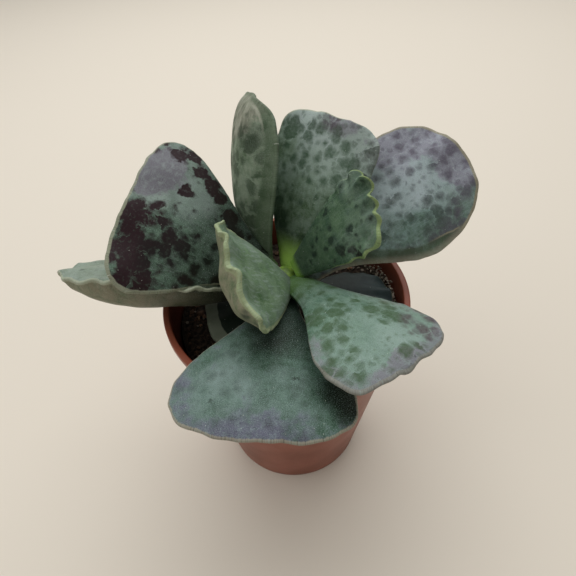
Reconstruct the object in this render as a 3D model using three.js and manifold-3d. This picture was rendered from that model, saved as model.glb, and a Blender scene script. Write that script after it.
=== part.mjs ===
// Potted plover eggs plant: a small rosette of thick, spotted, fan-shaped succulent
// leaves on a short stem, in a round thin-walled plastic pot filled with soil.
// Units are millimetres, +Z is up, and the origin is the centre of the pot's flat base.
// Azimuths count from +X towards +Y; the front of the plant faces -Y.

import * as THREE from "three";
import { mergeVertices } from "three/addons/utils/BufferGeometryUtils.js";
import Module from "manifold-3d";

const wasm = await Module();
wasm.setup();

// Driving dimensions of the pot
const POT_HEIGHT = 56;
const POT_BASE_RADIUS = 19;
const POT_RIM_RADIUS = 27.5;
const POT_WALL = 0.9;
const POT_FLOOR = 1.2;
const LIP_HEIGHT = 1.8;
const LIP_OVERHANG = 0.7;
const LIP_ROUND = 0.4;
const FOOT_ROUND = 0.6;
const DRAIN_RADIUS = 2.5;
const DRAIN_CIRCLE = 11;
const DRAIN_COUNT = 4;
const DRAIN_SIDES = 16;
const ROUND_SIDES = 40;

// Clearance between pieces that touch, and the size below which a sliver is dropped
const GAP = 0.3;
const SLIVER = 0.02;

// Driving dimensions of the soil: its level, its lumps and the grit sunk in it
const SOIL_TOP = 49;
const SOIL_RELIEF = 0.7;
const SOIL_RINGS = 6;
const LUMP_WAVE = 0.5;
const CRUMB_WAVE = 1.2;
const GRIT_COUNT = 30;
const GRIT_SIZE = 0.7;
const GRIT_SPREAD = 0.9;
const GRIT_SHAPE = [1, 0.8, 0.75];
const GRIT_TILT = 0.8;
const GRIT_CLEAR_OF_STEM = 5;
const GRIT_CLEAR_OF_WALL = 2;
const GRIT_SEED = 11;

// Driving dimensions of the stem, whose knuckles are old leaf scars
const STEM_FOOT = 41;
const STEM_TOP = 62.5;
const STEM_RADIUS = 3;
const STEM_SWELL = 0.3;
const STEM_KNUCKLES = 5;
const STEM_DOME = 4;
const STEM_SIDES = 12;
const STEM_STEPS = 9;

// Leaf grid: steps along and across a blade, and across one with strong folds
const STEPS_ALONG = 8;
const STEPS_ACROSS = 12;
const STEPS_ACROSS_FOLDED = 20;
const STRONG_FOLD = 1;

// How a leaf's thickness runs: mostly below its middle surface, thinner at the neck,
// full to near the margins, and gone at the end
const UPPER_SHARE = 0.25;
const ROUND_AT_NECK = 0.5;
const ROUND_AT_END = 1.1;
const END_POWER = 5;
const END_ROUND = 0.6;
const HOOK_START = 0.55;

// A leaf is an outline laid on a bent, cupped surface, with a thick belly under it.
// heading, rise and roll are degrees; seat is the azimuth at which its neck meets the
// stem, root how far from the axis it starts, height how far above the pot's base.
// blunt and square shape the round end, flare and wedge how soon the neck widens, slant
// sets the end askew and sway carries it to the left. droop is the bend along the leaf in
// degrees, cupLeft and cupRight lift the two margins, hook curls the end up, fold and folds
// are the height and the number of waves along the end. belly is the full thickness, edge
// the margin's, slim the share of the belly at the neck and waist where it is all there.
const PLAIN_LEAF = {
  roll: 0, root: 2.5, neck: 5, blunt: 0.3, square: 2.4, flare: 1.4, wedge: 0, slant: 0,
  sway: 0, droop: 0, cupLeft: 0, cupRight: 0, hook: 0, fold: 0.4, folds: 3, belly: 4.5,
  edge: 0.9, slim: 0.65, waist: 0.3,
};

// Inner leaves come first: each later leaf is trimmed back from the ones before it
const LEAVES = {
  leaf_inner_right: {
    heading: -17, rise: 53, roll: 44, height: 63, length: 23.5, width: 14.6, neck: 4,
    blunt: 0.15, square: 2.5, wedge: 0.6, slant: 0.07, droop: 6, fold: 1, folds: 4, belly: 3,
  },
  leaf_inner_left: {
    heading: -120, rise: 51, roll: -48, seat: -84, root: 2.7, height: 59.8, length: 24.3,
    width: 20.5, blunt: 0.17, square: 2.5, sway: 0.8, droop: 30, cupLeft: 1.2, cupRight: 0.5,
    hook: 7, fold: 1.2, belly: 9,
  },
  leaf_back_centre: {
    heading: 52, rise: 66, seat: 70, root: 3, height: 60, length: 32.8, width: 23.2, neck: 4,
    blunt: 0.19, square: 3.4, flare: 1.25, slant: 0.01, droop: 14, cupLeft: -1.6,
    cupRight: -0.5, belly: 3.6,
  },
  leaf_front_right: {
    heading: -57, rise: 21.5, roll: -8, height: 61, length: 34.4, width: 23.2, neck: 6,
    blunt: 0.23, square: 3.0, flare: 4.2, wedge: 0.2, slant: -0.03, sway: 1.0, droop: 18,
    cupLeft: -1, cupRight: -2, belly: 5,
  },
  leaf_front: {
    heading: -99, rise: 18, height: 58, length: 37, width: 31.5, neck: 6, blunt: 0.24,
    square: 2.5, flare: 3.4, wedge: 0.15, slant: -0.01, droop: 21, cupLeft: -3,
    cupRight: -1.5, belly: 5,
  },
  leaf_left: {
    heading: 180, rise: 43, roll: -33, height: 61, length: 33, width: 32.5, blunt: 0.21,
    square: 3.4, flare: 3, wedge: 0.6, slant: -0.02, droop: 12, cupLeft: 1, cupRight: -2,
  },
  leaf_back_right: {
    heading: 12, rise: 39, roll: 38, seat: -12, root: 3, height: 59.5, length: 41.8,
    width: 26, blunt: 0.34, square: 2.3, flare: 3.2, droop: 12, cupLeft: -1.5, cupRight: -3,
  },
  leaf_back_left: {
    heading: 119, rise: 62, roll: 74, seat: 125, root: 5.5, height: 56, length: 39.5,
    width: 22, neck: 6, blunt: 0.26, square: 3.0, slant: -0.05, droop: -22, cupLeft: 4,
    cupRight: 4, belly: 6,
  },
  leaf_far_left: {
    heading: 183, rise: 12.5, roll: 30, height: 57.8, length: 44, width: 20, neck: 5,
    blunt: 0.6, square: 2.0, flare: 3.2, cupLeft: 1, cupRight: 2.5, belly: 9.2, slim: 0.3,
    waist: 0.65,
  },
  leaf_low_right: {
    heading: -4, rise: 5, height: 54, length: 21, width: 13, neck: 4, blunt: 0.4, square: 2.2,
    droop: 10, belly: 3,
  },
  leaf_low_left: {
    heading: 194, rise: 0, height: 51.8, length: 15.5, width: 17, neck: 4, belly: 2,
    edge: 1.4,
  },
  leaf_low_back: {
    heading: 141, rise: 29, height: 53, length: 37, width: 15, neck: 4, blunt: 0.4, belly: 3,
  },
};

const radians = THREE.MathUtils.degToRad;

// A repeatable stream of numbers from 0 to 1, each state a multiple of the last one
const STREAM_FACTOR = 16807;
const STREAM_MODULUS = 2147483647;

function randomStream(seed) {
  let state = seed;
  return () => {
    state = (state * STREAM_FACTOR) % STREAM_MODULUS;
    return state / STREAM_MODULUS;
  };
}

function solidFrom(geometry) {
  const bare = geometry.clone();
  bare.deleteAttribute("normal");
  bare.deleteAttribute("uv");
  const merged = mergeVertices(bare, 1e-4);
  return new wasm.Manifold(new wasm.Mesh({
    numProp: 3,
    vertProperties: new Float32Array(merged.attributes.position.array),
    triVerts: new Uint32Array(merged.index.array),
  }));
}

function geometryFrom(solid) {
  const mesh = solid.getMesh();
  const geometry = new THREE.BufferGeometry();
  geometry.setAttribute("position", new THREE.BufferAttribute(new Float32Array(mesh.vertProperties), 3));
  geometry.setIndex(new THREE.BufferAttribute(new Uint32Array(mesh.triVerts), 1));
  geometry.computeVertexNormals();
  return geometry;
}

// A closed skin put together point by point and face by face
class Skin {
  positions = [];

  faces = [];

  point(x, y, z) {
    this.positions.push(x, y, z);
    return this.positions.length / 3 - 1;
  }

  quad(a, b, c, d) {
    this.faces.push(a, b, c, a, c, d);
  }

  // A band of quads between two rows of points, and back to its start if it is a ring
  band(low, high, closed) {
    const last = closed ? low.length : low.length - 1;
    for (let i = 0; i < last; i += 1) {
      const next = (i + 1) % low.length;
      this.quad(low[i], low[next], high[next], high[i]);
    }
  }

  // A fan of triangles from one point to a ring
  fan(centre, ring) {
    for (let i = 0; i < ring.length; i += 1) {
      this.faces.push(centre, ring[i], ring[(i + 1) % ring.length]);
    }
  }

  solid() {
    const geometry = new THREE.BufferGeometry();
    geometry.setAttribute("position", new THREE.Float32BufferAttribute(this.positions, 3));
    geometry.setIndex(this.faces);
    return solidFrom(geometry);
  }
}

// A lathe turned upright, its profile given as [radius, height] pairs
function turned(profile, sides) {
  const points = profile.map(([radius, height]) => new THREE.Vector2(radius, height));
  const geometry = new THREE.LatheGeometry(points, sides);
  geometry.rotateX(Math.PI / 2);
  return solidFrom(geometry);
}

// Pot: a tapered thin wall with a small rolled lip, a flat base and drain holes
const wallTop = POT_HEIGHT - LIP_HEIGHT;
const wallTopRadius = POT_RIM_RADIUS - LIP_OVERHANG;

function potInnerRadius(height) {
  const share = (height - FOOT_ROUND) / (wallTop - FOOT_ROUND);
  return POT_BASE_RADIUS + share * (wallTopRadius - POT_BASE_RADIUS) - POT_WALL;
}

function potSolid() {
  const lipInner = potInnerRadius(POT_HEIGHT - LIP_ROUND);
  let pot = turned([
    [0, 0],
    [POT_BASE_RADIUS - FOOT_ROUND, 0],
    [POT_BASE_RADIUS, FOOT_ROUND],
    [wallTopRadius, wallTop],
    [POT_RIM_RADIUS, wallTop + LIP_ROUND],
    [POT_RIM_RADIUS, POT_HEIGHT - LIP_ROUND],
    [POT_RIM_RADIUS - LIP_ROUND, POT_HEIGHT],
    [lipInner + LIP_ROUND, POT_HEIGHT],
    [lipInner, POT_HEIGHT - LIP_ROUND],
    [potInnerRadius(POT_FLOOR), POT_FLOOR],
    [0, POT_FLOOR],
  ], ROUND_SIDES);
  for (let i = 0; i < DRAIN_COUNT; i += 1) {
    const angle = (2 * Math.PI * (i + 0.5)) / DRAIN_COUNT;
    const drill = new THREE.CylinderGeometry(DRAIN_RADIUS, DRAIN_RADIUS, 4 * POT_FLOOR, DRAIN_SIDES);
    drill.rotateX(Math.PI / 2);
    drill.translate(DRAIN_CIRCLE * Math.cos(angle), DRAIN_CIRCLE * Math.sin(angle), 0);
    pot = pot.subtract(solidFrom(drill));
  }
  return pot;
}

// Stem: short and stout, standing in a plain hole in the soil, with a domed top
function stemRadius(height) {
  const share = (height - STEM_FOOT) / (STEM_TOP - STEM_FOOT);
  const swell = STEM_SWELL * Math.sin(Math.PI * STEM_KNUCKLES * share);
  const intoDome = Math.max(0, (height - (STEM_TOP - STEM_DOME)) / STEM_DOME);
  return (STEM_RADIUS + swell) * Math.sqrt(1 - intoDome ** 2);
}

function stemSolid(grow) {
  const profile = [[0, STEM_FOOT - grow], [stemRadius(STEM_FOOT) + grow, STEM_FOOT - grow]];
  for (let i = 1; i < STEM_STEPS; i += 1) {
    const height = STEM_FOOT + ((STEM_TOP - STEM_FOOT) * i) / STEM_STEPS;
    profile.push([stemRadius(height) + grow, height]);
  }
  profile.push([0, STEM_TOP + grow]);
  return turned(profile, STEM_SIDES);
}

// Soil: a plug that fills the pot, with a lumpy top and grit sunk in it
function soilHeight(x, y) {
  const lumps = Math.sin(LUMP_WAVE * x + 1) * Math.cos(LUMP_WAVE * y);
  const crumbs = Math.sin(CRUMB_WAVE * (x - y)) * Math.sin(CRUMB_WAVE * (x + y));
  return SOIL_TOP + (SOIL_RELIEF * (lumps + crumbs)) / 2;
}

function soilSolid() {
  const bottom = POT_FLOOR + GAP;
  const shoulder = SOIL_TOP - SOIL_RELIEF;
  const topRadius = potInnerRadius(shoulder) - GAP;
  const skin = new Skin();
  const ringAt = (radius, heightAt) => {
    const ring = [];
    for (let i = 0; i < ROUND_SIDES; i += 1) {
      const angle = (2 * Math.PI * i) / ROUND_SIDES;
      const x = radius * Math.sin(angle);
      const y = -radius * Math.cos(angle);
      ring.push(skin.point(x, y, heightAt(x, y)));
    }
    return ring;
  };
  const foot = ringAt(potInnerRadius(bottom) - GAP, () => bottom);
  skin.fan(skin.point(0, 0, bottom), [...foot].reverse());
  let ring = ringAt(topRadius, () => shoulder);
  skin.band(foot, ring, true);
  for (let i = 1; i < SOIL_RINGS; i += 1) {
    const inner = ringAt(topRadius * (1 - i / SOIL_RINGS), soilHeight);
    skin.band(ring, inner, true);
    ring = inner;
  }
  skin.fan(skin.point(0, 0, soilHeight(0, 0)), ring);

  let soil = skin.solid();
  const random = randomStream(GRIT_SEED);
  const gritReach = topRadius - GRIT_CLEAR_OF_WALL - GRIT_CLEAR_OF_STEM;
  for (let i = 0; i < GRIT_COUNT; i += 1) {
    const radius = GRIT_CLEAR_OF_STEM + gritReach * Math.sqrt(random());
    const angle = 2 * Math.PI * random();
    const stone = new THREE.OctahedronGeometry(GRIT_SIZE + GRIT_SPREAD * random());
    stone.scale(...GRIT_SHAPE);
    stone.rotateX(GRIT_TILT * random());
    stone.rotateZ(2 * Math.PI * random());
    const x = radius * Math.cos(angle);
    const y = radius * Math.sin(angle);
    stone.translate(x, y, soilHeight(x, y));
    soil = soil.add(solidFrom(stone));
  }
  return soil.subtract(stemSolid(GAP));
}

// A leaf's own axes: along it, to its left, and up out of its upper face
function leafAxes(leaf) {
  const heading = radians(leaf.heading);
  const rise = radians(leaf.rise);
  const roll = radians(leaf.roll);
  const along = new THREE.Vector3(Math.cos(heading), Math.sin(heading), 0);
  const flatUp = along.clone().multiplyScalar(-Math.sin(rise)).setZ(Math.cos(rise));
  along.multiplyScalar(Math.cos(rise)).setZ(Math.sin(rise));
  const flatLeft = flatUp.clone().cross(along);
  const left = flatLeft.clone().multiplyScalar(Math.cos(roll)).addScaledVector(flatUp, Math.sin(roll));
  const up = flatUp.multiplyScalar(Math.cos(roll)).addScaledVector(flatLeft, -Math.sin(roll));
  return { along, left, up };
}

// The middle surface at u from neck to end and v from the right margin to the left one
function leafPoint(leaf, axes, u, v, grow) {
  const roundEnd = 1 - (1 - Math.abs(v) ** leaf.square) ** (1 / leaf.square);
  const share = u * (1 - leaf.blunt * roundEnd + leaf.slant * v);
  const spread = Math.min(share / (1 - leaf.blunt), 1);
  const curved = Math.sin((Math.PI / 2) * spread) ** leaf.flare;
  const opening = leaf.wedge * spread + (1 - leaf.wedge) * curved;
  const halfWidth = leaf.width / 2;
  const halfNeck = leaf.neck / 2;
  const across = v * (halfNeck + (halfWidth - halfNeck) * opening + grow);

  const droop = radians(leaf.droop);
  const bend = droop * share;
  const forward = droop === 0 ? share : Math.sin(bend) / droop;
  const sunk = droop === 0 ? 0 : (1 - Math.cos(bend)) / droop;
  const normal = axes.up.clone().multiplyScalar(Math.cos(bend));
  normal.addScaledVector(axes.along, Math.sin(bend));

  const cup = (v > 0 ? leaf.cupLeft : leaf.cupRight) * (across / halfWidth) ** 2;
  const hook = leaf.hook * Math.max((share - HOOK_START) / (1 - HOOK_START), 0) ** 2;
  const wave = leaf.fold * Math.sin(Math.PI * leaf.folds * v) * u ** END_POWER;

  const seat = radians(leaf.seat ?? leaf.heading);
  const point = new THREE.Vector3(leaf.root * Math.cos(seat), leaf.root * Math.sin(seat), leaf.height);
  point.addScaledVector(axes.along, leaf.length * forward + grow * (2 * u - 1));
  point.addScaledVector(axes.up, -leaf.length * sunk);
  point.addScaledVector(axes.left, across + leaf.sway * share ** 2);
  point.addScaledVector(normal, cup + hook + wave);
  return { point, normal, share };
}

// How much a leaf swells beyond its margin's thickness at one place
function leafBelly(leaf, share, u, v) {
  const neck = leaf.slim + (1 - leaf.slim) * Math.min(share / leaf.waist, 1);
  const roundness = ROUND_AT_NECK + (ROUND_AT_END - ROUND_AT_NECK) * share;
  const acrossShare = Math.max(1 - v * v, 0) ** roundness;
  const alongShare = Math.max(1 - u ** END_POWER, 0) ** END_ROUND;
  return (leaf.belly - leaf.edge) * neck * acrossShare * alongShare;
}

// A closed leaf: an upper skin, a lower skin and a rounded margin between them
function leafSolid(leaf, grow) {
  const axes = leafAxes(leaf);
  const acrossSteps = leaf.fold < STRONG_FOLD ? STEPS_ACROSS : STEPS_ACROSS_FOLDED;
  const halfEdge = leaf.edge / 2 + grow;
  const skin = new Skin();
  const add = (point) => skin.point(point.x, point.y, point.z);
  const upper = [];
  const lower = [];
  const middle = [];
  for (let i = 0; i <= STEPS_ALONG; i += 1) {
    const u = i / STEPS_ALONG;
    upper.push([]);
    lower.push([]);
    middle.push([]);
    for (let j = 0; j <= acrossSteps; j += 1) {
      const v = Math.sin((Math.PI / 2) * ((2 * j) / acrossSteps - 1));
      const { point, normal, share } = leafPoint(leaf, axes, u, v, grow);
      const belly = leafBelly(leaf, share, u, v);
      const above = halfEdge + UPPER_SHARE * belly;
      const below = halfEdge + (1 - UPPER_SHARE) * belly;
      upper[i].push(add(point.clone().addScaledVector(normal, above)));
      lower[i].push(add(point.clone().addScaledVector(normal, -below)));
      middle[i].push(point);
    }
  }
  for (let i = 0; i < STEPS_ALONG; i += 1) {
    for (let j = 0; j < acrossSteps; j += 1) {
      skin.quad(upper[i][j], upper[i + 1][j], upper[i + 1][j + 1], upper[i][j + 1]);
      const [a, b, c, d] = [lower[i][j], lower[i + 1][j], lower[i + 1][j + 1], lower[i][j + 1]];
      skin.faces.push(a, c, b, a, d, c);
    }
  }

  // The margin is walked once, out along the right side, across the end and back; inI
  // and inJ are the grid place next to it, towards the middle of the leaf
  const margin = [];
  for (let i = 0; i <= STEPS_ALONG; i += 1) {
    margin.push({ i, j: 0, inI: i, inJ: 1 });
  }
  for (let j = 1; j <= acrossSteps; j += 1) {
    margin.push({ i: STEPS_ALONG, j, inI: STEPS_ALONG - 1, inJ: j });
  }
  for (let i = STEPS_ALONG - 1; i >= 0; i -= 1) {
    margin.push({ i, j: acrossSteps, inI: i, inJ: acrossSteps - 1 });
  }
  const bead = margin.map(({ i, j, inI, inJ }) => {
    const outward = middle[i][j].clone().sub(middle[inI][inJ]).normalize();
    return add(middle[i][j].clone().addScaledVector(outward, halfEdge));
  });
  skin.band(bead, margin.map(({ i, j }) => upper[i][j]), false);
  skin.band(margin.map(({ i, j }) => lower[i][j]), bead, false);

  // The neck is closed by a flat end
  skin.band(upper[0], lower[0], false);
  skin.faces.push(upper[0][0], lower[0][0], bead[0]);
  skin.faces.push(upper[0][acrossSteps], bead[bead.length - 1], lower[0][acrossSteps]);
  return skin.solid();
}

// Each leaf is trimmed back from the stem and from the leaves before it
function fittedLeaves() {
  const fitted = {};
  let taken = stemSolid(GAP);
  for (const [name, row] of Object.entries(LEAVES)) {
    const leaf = { ...PLAIN_LEAF, ...row };
    const pieces = leafSolid(leaf, 0).subtract(taken).simplify(SLIVER).decompose();
    pieces.sort((a, b) => b.volume() - a.volume());
    fitted[name] = pieces[0];
    taken = taken.add(leafSolid(leaf, GAP));
  }
  return fitted;
}

const MATERIALS = {
  pot: new THREE.MeshStandardMaterial({ color: 0x8c4f3d, roughness: 0.45, metalness: 0 }),
  soil: new THREE.MeshStandardMaterial({ color: 0x241a15, roughness: 1, metalness: 0 }),
  stem: new THREE.MeshStandardMaterial({ color: 0x6f8a3c, roughness: 0.6, metalness: 0 }),
  leaf: new THREE.MeshStandardMaterial({ color: 0x6f8a80, roughness: 0.55, metalness: 0 }),
};

function piece(name, solid, material) {
  const mesh = new THREE.Mesh(geometryFrom(solid), material);
  mesh.name = name;
  return mesh;
}

const plant = new THREE.Group();
plant.add(piece("pot", potSolid(), MATERIALS.pot));
plant.add(piece("soil", soilSolid(), MATERIALS.soil));
plant.add(piece("stem", stemSolid(0), MATERIALS.stem));
for (const [name, solid] of Object.entries(fittedLeaves())) {
  plant.add(piece(name, solid, MATERIALS.leaf));
}

export default plant;
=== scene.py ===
"""A potted plover eggs plant: twelve thick spotted leaves on a short stem, in a small plastic pot.

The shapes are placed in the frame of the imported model, in metres, with the pot's flat base at
the origin and the plant's front facing -Y. Run it as a script; it isn't meant to be installed.
"""

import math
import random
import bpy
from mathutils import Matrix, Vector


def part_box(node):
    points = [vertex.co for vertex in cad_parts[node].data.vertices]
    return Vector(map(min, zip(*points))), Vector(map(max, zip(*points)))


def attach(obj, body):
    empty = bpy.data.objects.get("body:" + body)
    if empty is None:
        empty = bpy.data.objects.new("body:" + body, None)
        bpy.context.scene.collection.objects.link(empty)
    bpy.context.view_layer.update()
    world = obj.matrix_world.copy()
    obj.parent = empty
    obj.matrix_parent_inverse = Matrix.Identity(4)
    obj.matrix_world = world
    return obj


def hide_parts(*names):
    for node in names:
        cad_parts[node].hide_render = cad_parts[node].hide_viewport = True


bl_info = {
    "name": "Potted Plover Eggs Plant",
    "version": (1, 0, 0),
    "blender": (4, 5, 0),
    "location": "View3D > Sidebar > Plant",
    "description": "Builds a potted plover eggs plant piece by piece, with its stage",
    "category": "Add Mesh",
}

from types import SimpleNamespace

import bmesh
import bpy
import numpy as np
from bpy.props import FloatProperty, FloatVectorProperty, IntProperty, PointerProperty
from mathutils import Matrix, Vector, noise

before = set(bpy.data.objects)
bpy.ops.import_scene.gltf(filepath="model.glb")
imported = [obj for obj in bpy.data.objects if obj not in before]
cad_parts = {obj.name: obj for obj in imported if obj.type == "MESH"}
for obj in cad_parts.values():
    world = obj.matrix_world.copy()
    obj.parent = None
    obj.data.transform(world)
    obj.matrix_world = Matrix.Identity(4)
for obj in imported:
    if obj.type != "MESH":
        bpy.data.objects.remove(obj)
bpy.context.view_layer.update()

MM = 0.001
BODY = "root"

# How much wider the pot is inside its lip than inside its wall
LIP_STEP = 0.2 * MM

# How near the middle and the wall the loose crumbs lie
CRUMBS_FROM = 5 * MM
CRUMBS_TO = 23.6 * MM

# The dry crust on the wall: which way it lies and how widely, in degrees, then how far out it
# starts and how high it climbs, in millimetres, and how far the wall leans out as it rises
CRUST_HEADING = 10
CRUST_SPREAD = 12
CRUST_REACH = 24.2
CRUST_CLIMB = 4
WALL_LEAN = 0.14

# The rings that the soil's top is cut into, and a fibre's steps and where it turns back
SOIL_RINGS = 40
FIBRE_STEPS = 12
FIBRE_STEP = 0.5 * MM
FIBRE_TURN = 22.5 * MM

POT_LOW, POT_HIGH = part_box("pot")
STEM_LOW, STEM_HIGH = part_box("stem")

# Leaf shapes in millimetres and degrees, as the part's own source gives them
PLAIN_LEAF = {
    "roll": 0, "root": 2.5, "neck": 5, "blunt": 0.3, "square": 2.4, "flare": 1.4, "wedge": 0,
    "slant": 0, "sway": 0, "droop": 0, "cup_left": 0, "cup_right": 0, "hook": 0, "fold": 0.4,
    "folds": 3, "belly": 4.5, "edge": 0.9, "slim": 0.65, "waist": 0.3, "crimp": 0.06,
    "crimp_length": 5.0, "crimp_depth": 2.0,
}
LEAF_SHAPES = {
    "leaf_inner_right": {
        "heading": -17, "rise": 53, "roll": 44, "height": 63, "length": 23.5, "width": 14.6,
        "neck": 4, "blunt": 0.15, "square": 2.5, "wedge": 0.6, "slant": 0.07, "droop": 6,
        "fold": 0.35, "folds": 4, "belly": 3, "crimp": 0.75, "crimp_length": 3.7,
        "crimp_depth": 1.6,
    },
    "leaf_inner_left": {
        "heading": -120, "rise": 51, "roll": -48, "seat": -84, "root": 2.7, "height": 59.8,
        "length": 24.3, "width": 20.5, "blunt": 0.17, "square": 2.5, "sway": 0.8, "droop": 30,
        "cup_left": 1.2, "cup_right": 0.5, "hook": 7, "fold": 0.9, "belly": 9, "crimp": 0.35,
        "crimp_length": 4.2,
    },
    "leaf_back_centre": {
        "heading": 52, "rise": 66, "seat": 70, "root": 3, "height": 60, "length": 32.8,
        "width": 23.2, "neck": 4, "blunt": 0.19, "square": 3.4, "flare": 1.25, "slant": 0.01,
        "droop": 14, "cup_left": -1.6, "cup_right": -0.5, "belly": 3.6,
    },
    "leaf_front_right": {
        "heading": -57, "rise": 21.5, "roll": -8, "height": 61, "length": 34.4, "width": 23.2,
        "neck": 6, "blunt": 0.23, "square": 3.0, "flare": 4.2, "wedge": 0.2, "slant": -0.03,
        "sway": 1.0, "droop": 18, "cup_left": -1, "cup_right": -2, "belly": 5, "crimp": 0.2,
    },
    "leaf_front": {
        "heading": -99, "rise": 18, "height": 58, "length": 37, "width": 31.5, "neck": 6,
        "blunt": 0.24, "square": 2.5, "flare": 3.4, "wedge": 0.15, "slant": -0.01, "droop": 21,
        "cup_left": -3, "cup_right": -1.5, "belly": 5, "crimp": 0.12,
    },
    "leaf_left": {
        "heading": 180, "rise": 43, "roll": -33, "height": 61, "length": 33, "width": 32.5,
        "blunt": 0.21, "square": 3.4, "flare": 3, "wedge": 0.6, "slant": -0.02, "droop": 12,
        "cup_left": 1, "cup_right": -2,
    },
    "leaf_back_right": {
        "heading": 12, "rise": 39, "roll": 38, "seat": -12, "root": 3, "height": 59.5,
        "length": 41.8, "width": 26, "blunt": 0.34, "square": 2.3, "flare": 3.2, "droop": 12,
        "cup_left": -1.5, "cup_right": -3,
    },
    "leaf_back_left": {
        "heading": 119, "rise": 62, "roll": 74, "seat": 125, "root": 5.5, "height": 56,
        "length": 39.5, "width": 22, "neck": 6, "blunt": 0.26, "square": 3.0, "slant": -0.05,
        "droop": -22, "cup_left": 4, "cup_right": 4, "belly": 6,
    },
    "leaf_far_left": {
        "heading": 183, "rise": 12.5, "roll": 30, "height": 57.8, "length": 44, "width": 20,
        "neck": 5, "blunt": 0.6, "square": 2.0, "flare": 3.2, "cup_left": 1, "cup_right": 2.5,
        "belly": 9.2, "slim": 0.3, "waist": 0.65, "crimp": 0.3,
    },
    "leaf_low_right": {
        "heading": -4, "rise": 5, "height": 54, "length": 21, "width": 13, "neck": 4,
        "blunt": 0.4, "square": 2.2, "droop": 10, "belly": 3, "crimp": 0.25,
    },
    "leaf_low_left": {
        "heading": 194, "rise": 0, "height": 51.8, "length": 15.5, "width": 17, "neck": 4,
        "belly": 2, "edge": 1.4,
    },
    "leaf_low_back": {
        "heading": 141, "rise": 29, "height": 53, "length": 37, "width": 15, "neck": 4,
        "blunt": 0.4, "belly": 3,
    },
}

# How a leaf's thickness runs from neck to end and across
UPPER_SHARE = 0.25
ROUND_AT_NECK = 0.5
ROUND_AT_END = 1.1
END_POWER = 5
END_ROUND = 0.6
HOOK_START = 0.55

# The leaf grid before it is subdivided, and the rings of its rounded margin
GRID_ALONG = 40
GRID_ACROSS = 44
MARGIN_RINGS = 3

# Points taken along each side of a margin and across its end
SIDE_POINTS = 160
END_POINTS = 240

# A short way along the margin, and how near 1 a place counts as on it
NUDGE = 1e-3
ON_MARGIN = 1 - 1e-6

# The camera: where it looks, from how far, how steeply and how far it is rolled
CAMERA_TARGET = Vector((0.55, 0.67, 56.0)) * MM
CAMERA_DISTANCE = 101.85 * MM
CAMERA_ELEVATION = math.radians(45.5)
CAMERA_ROLL = math.radians(-3.55)
CAMERA_LENS = 28.125
CAMERA_SENSOR = 36

# The point that the lights face
LIGHT_AIM = Vector((0, 0, 50)) * MM


def linear(hexadecimal):
    """A screen colour such as "5c7a6a" as linear red, green, blue and alpha."""
    shares = [int(hexadecimal[i : i + 2], 16) / 255 for i in (0, 2, 4)]
    curved = [s / 12.92 if s <= 0.04045 else ((s + 0.055) / 1.055) ** 2.4 for s in shares]
    return (*curved, 1.0)


# Leaf finishes: colours, and numbers for the layers of a leaf's skin, sizes in millimetres.
# A spread, such as spots or hazes, says how much of a finish a place on the leaf has: its
# base, and what it gains at the margin, at the end, on the leaf's left side, and unevenly all
# over. Patches are listed by the spread that they add to. Each is a round place: the way
# across from the leaf's middle, the way along it, the radius and the gain.
# pales says how far in the light margin reaches. deep is how far along the leaf its dark foot
# reaches and how dark it is: that foot is painted shade where the leaves crowd at the crown,
# with a darker green there. fresh gives the same two for the yellow-green neck. The dark spread
# adds small dark marks and painted shadows that other leaves cast. spot_gap is how far apart the
# large spots are, spot_depth how strong and spot_soft how soft-edged. streaks and grain say how
# much the pale lines along the leaf and the fine speckle show.
# rolled is a band along one margin where the leaf's other face shows, coloured band inside and
# band_rim at its rim: how wide it is, how far along the leaf it goes, and 1 on the left side
# or -1 on the right.
PLAIN_FINISH = {
    "skin": "6f8b78", "shade": "48644f", "bloom": "a9b8b3", "haze": "746e7b", "spot": "22332a",
    "maroon": "271d20", "margin": "a8ae98", "under": "858671", "neck": "5f7d3e", "spot_gap": 2.8,
    "spot_depth": 0.95, "deep": (0.6, 0.5), "fresh": (0.12, 0.4), "spots": (0.4, 0.1, 0.1, 0, 0.5),
    "hazes": (0, 0.2, 0.2, 0, 0.3), "maroons": (0, 0.4, 0.2, 0, 0.2), "blooms": (0, 0, 0.4, 0, 0.4),
    "under_spots": (0.3, 0.1, 0.2, 0, 0.5), "pales": (-0.15, 0, 0, 0, 0.15),
    "darks": (0, 0, 0, 0, 0), "patches": {}, "grain": 0.3, "rolled": (), "band": "46563a",
    "band_rim": "99947f", "streaks": 0.15, "spot_soft": 0.15,
}
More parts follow.
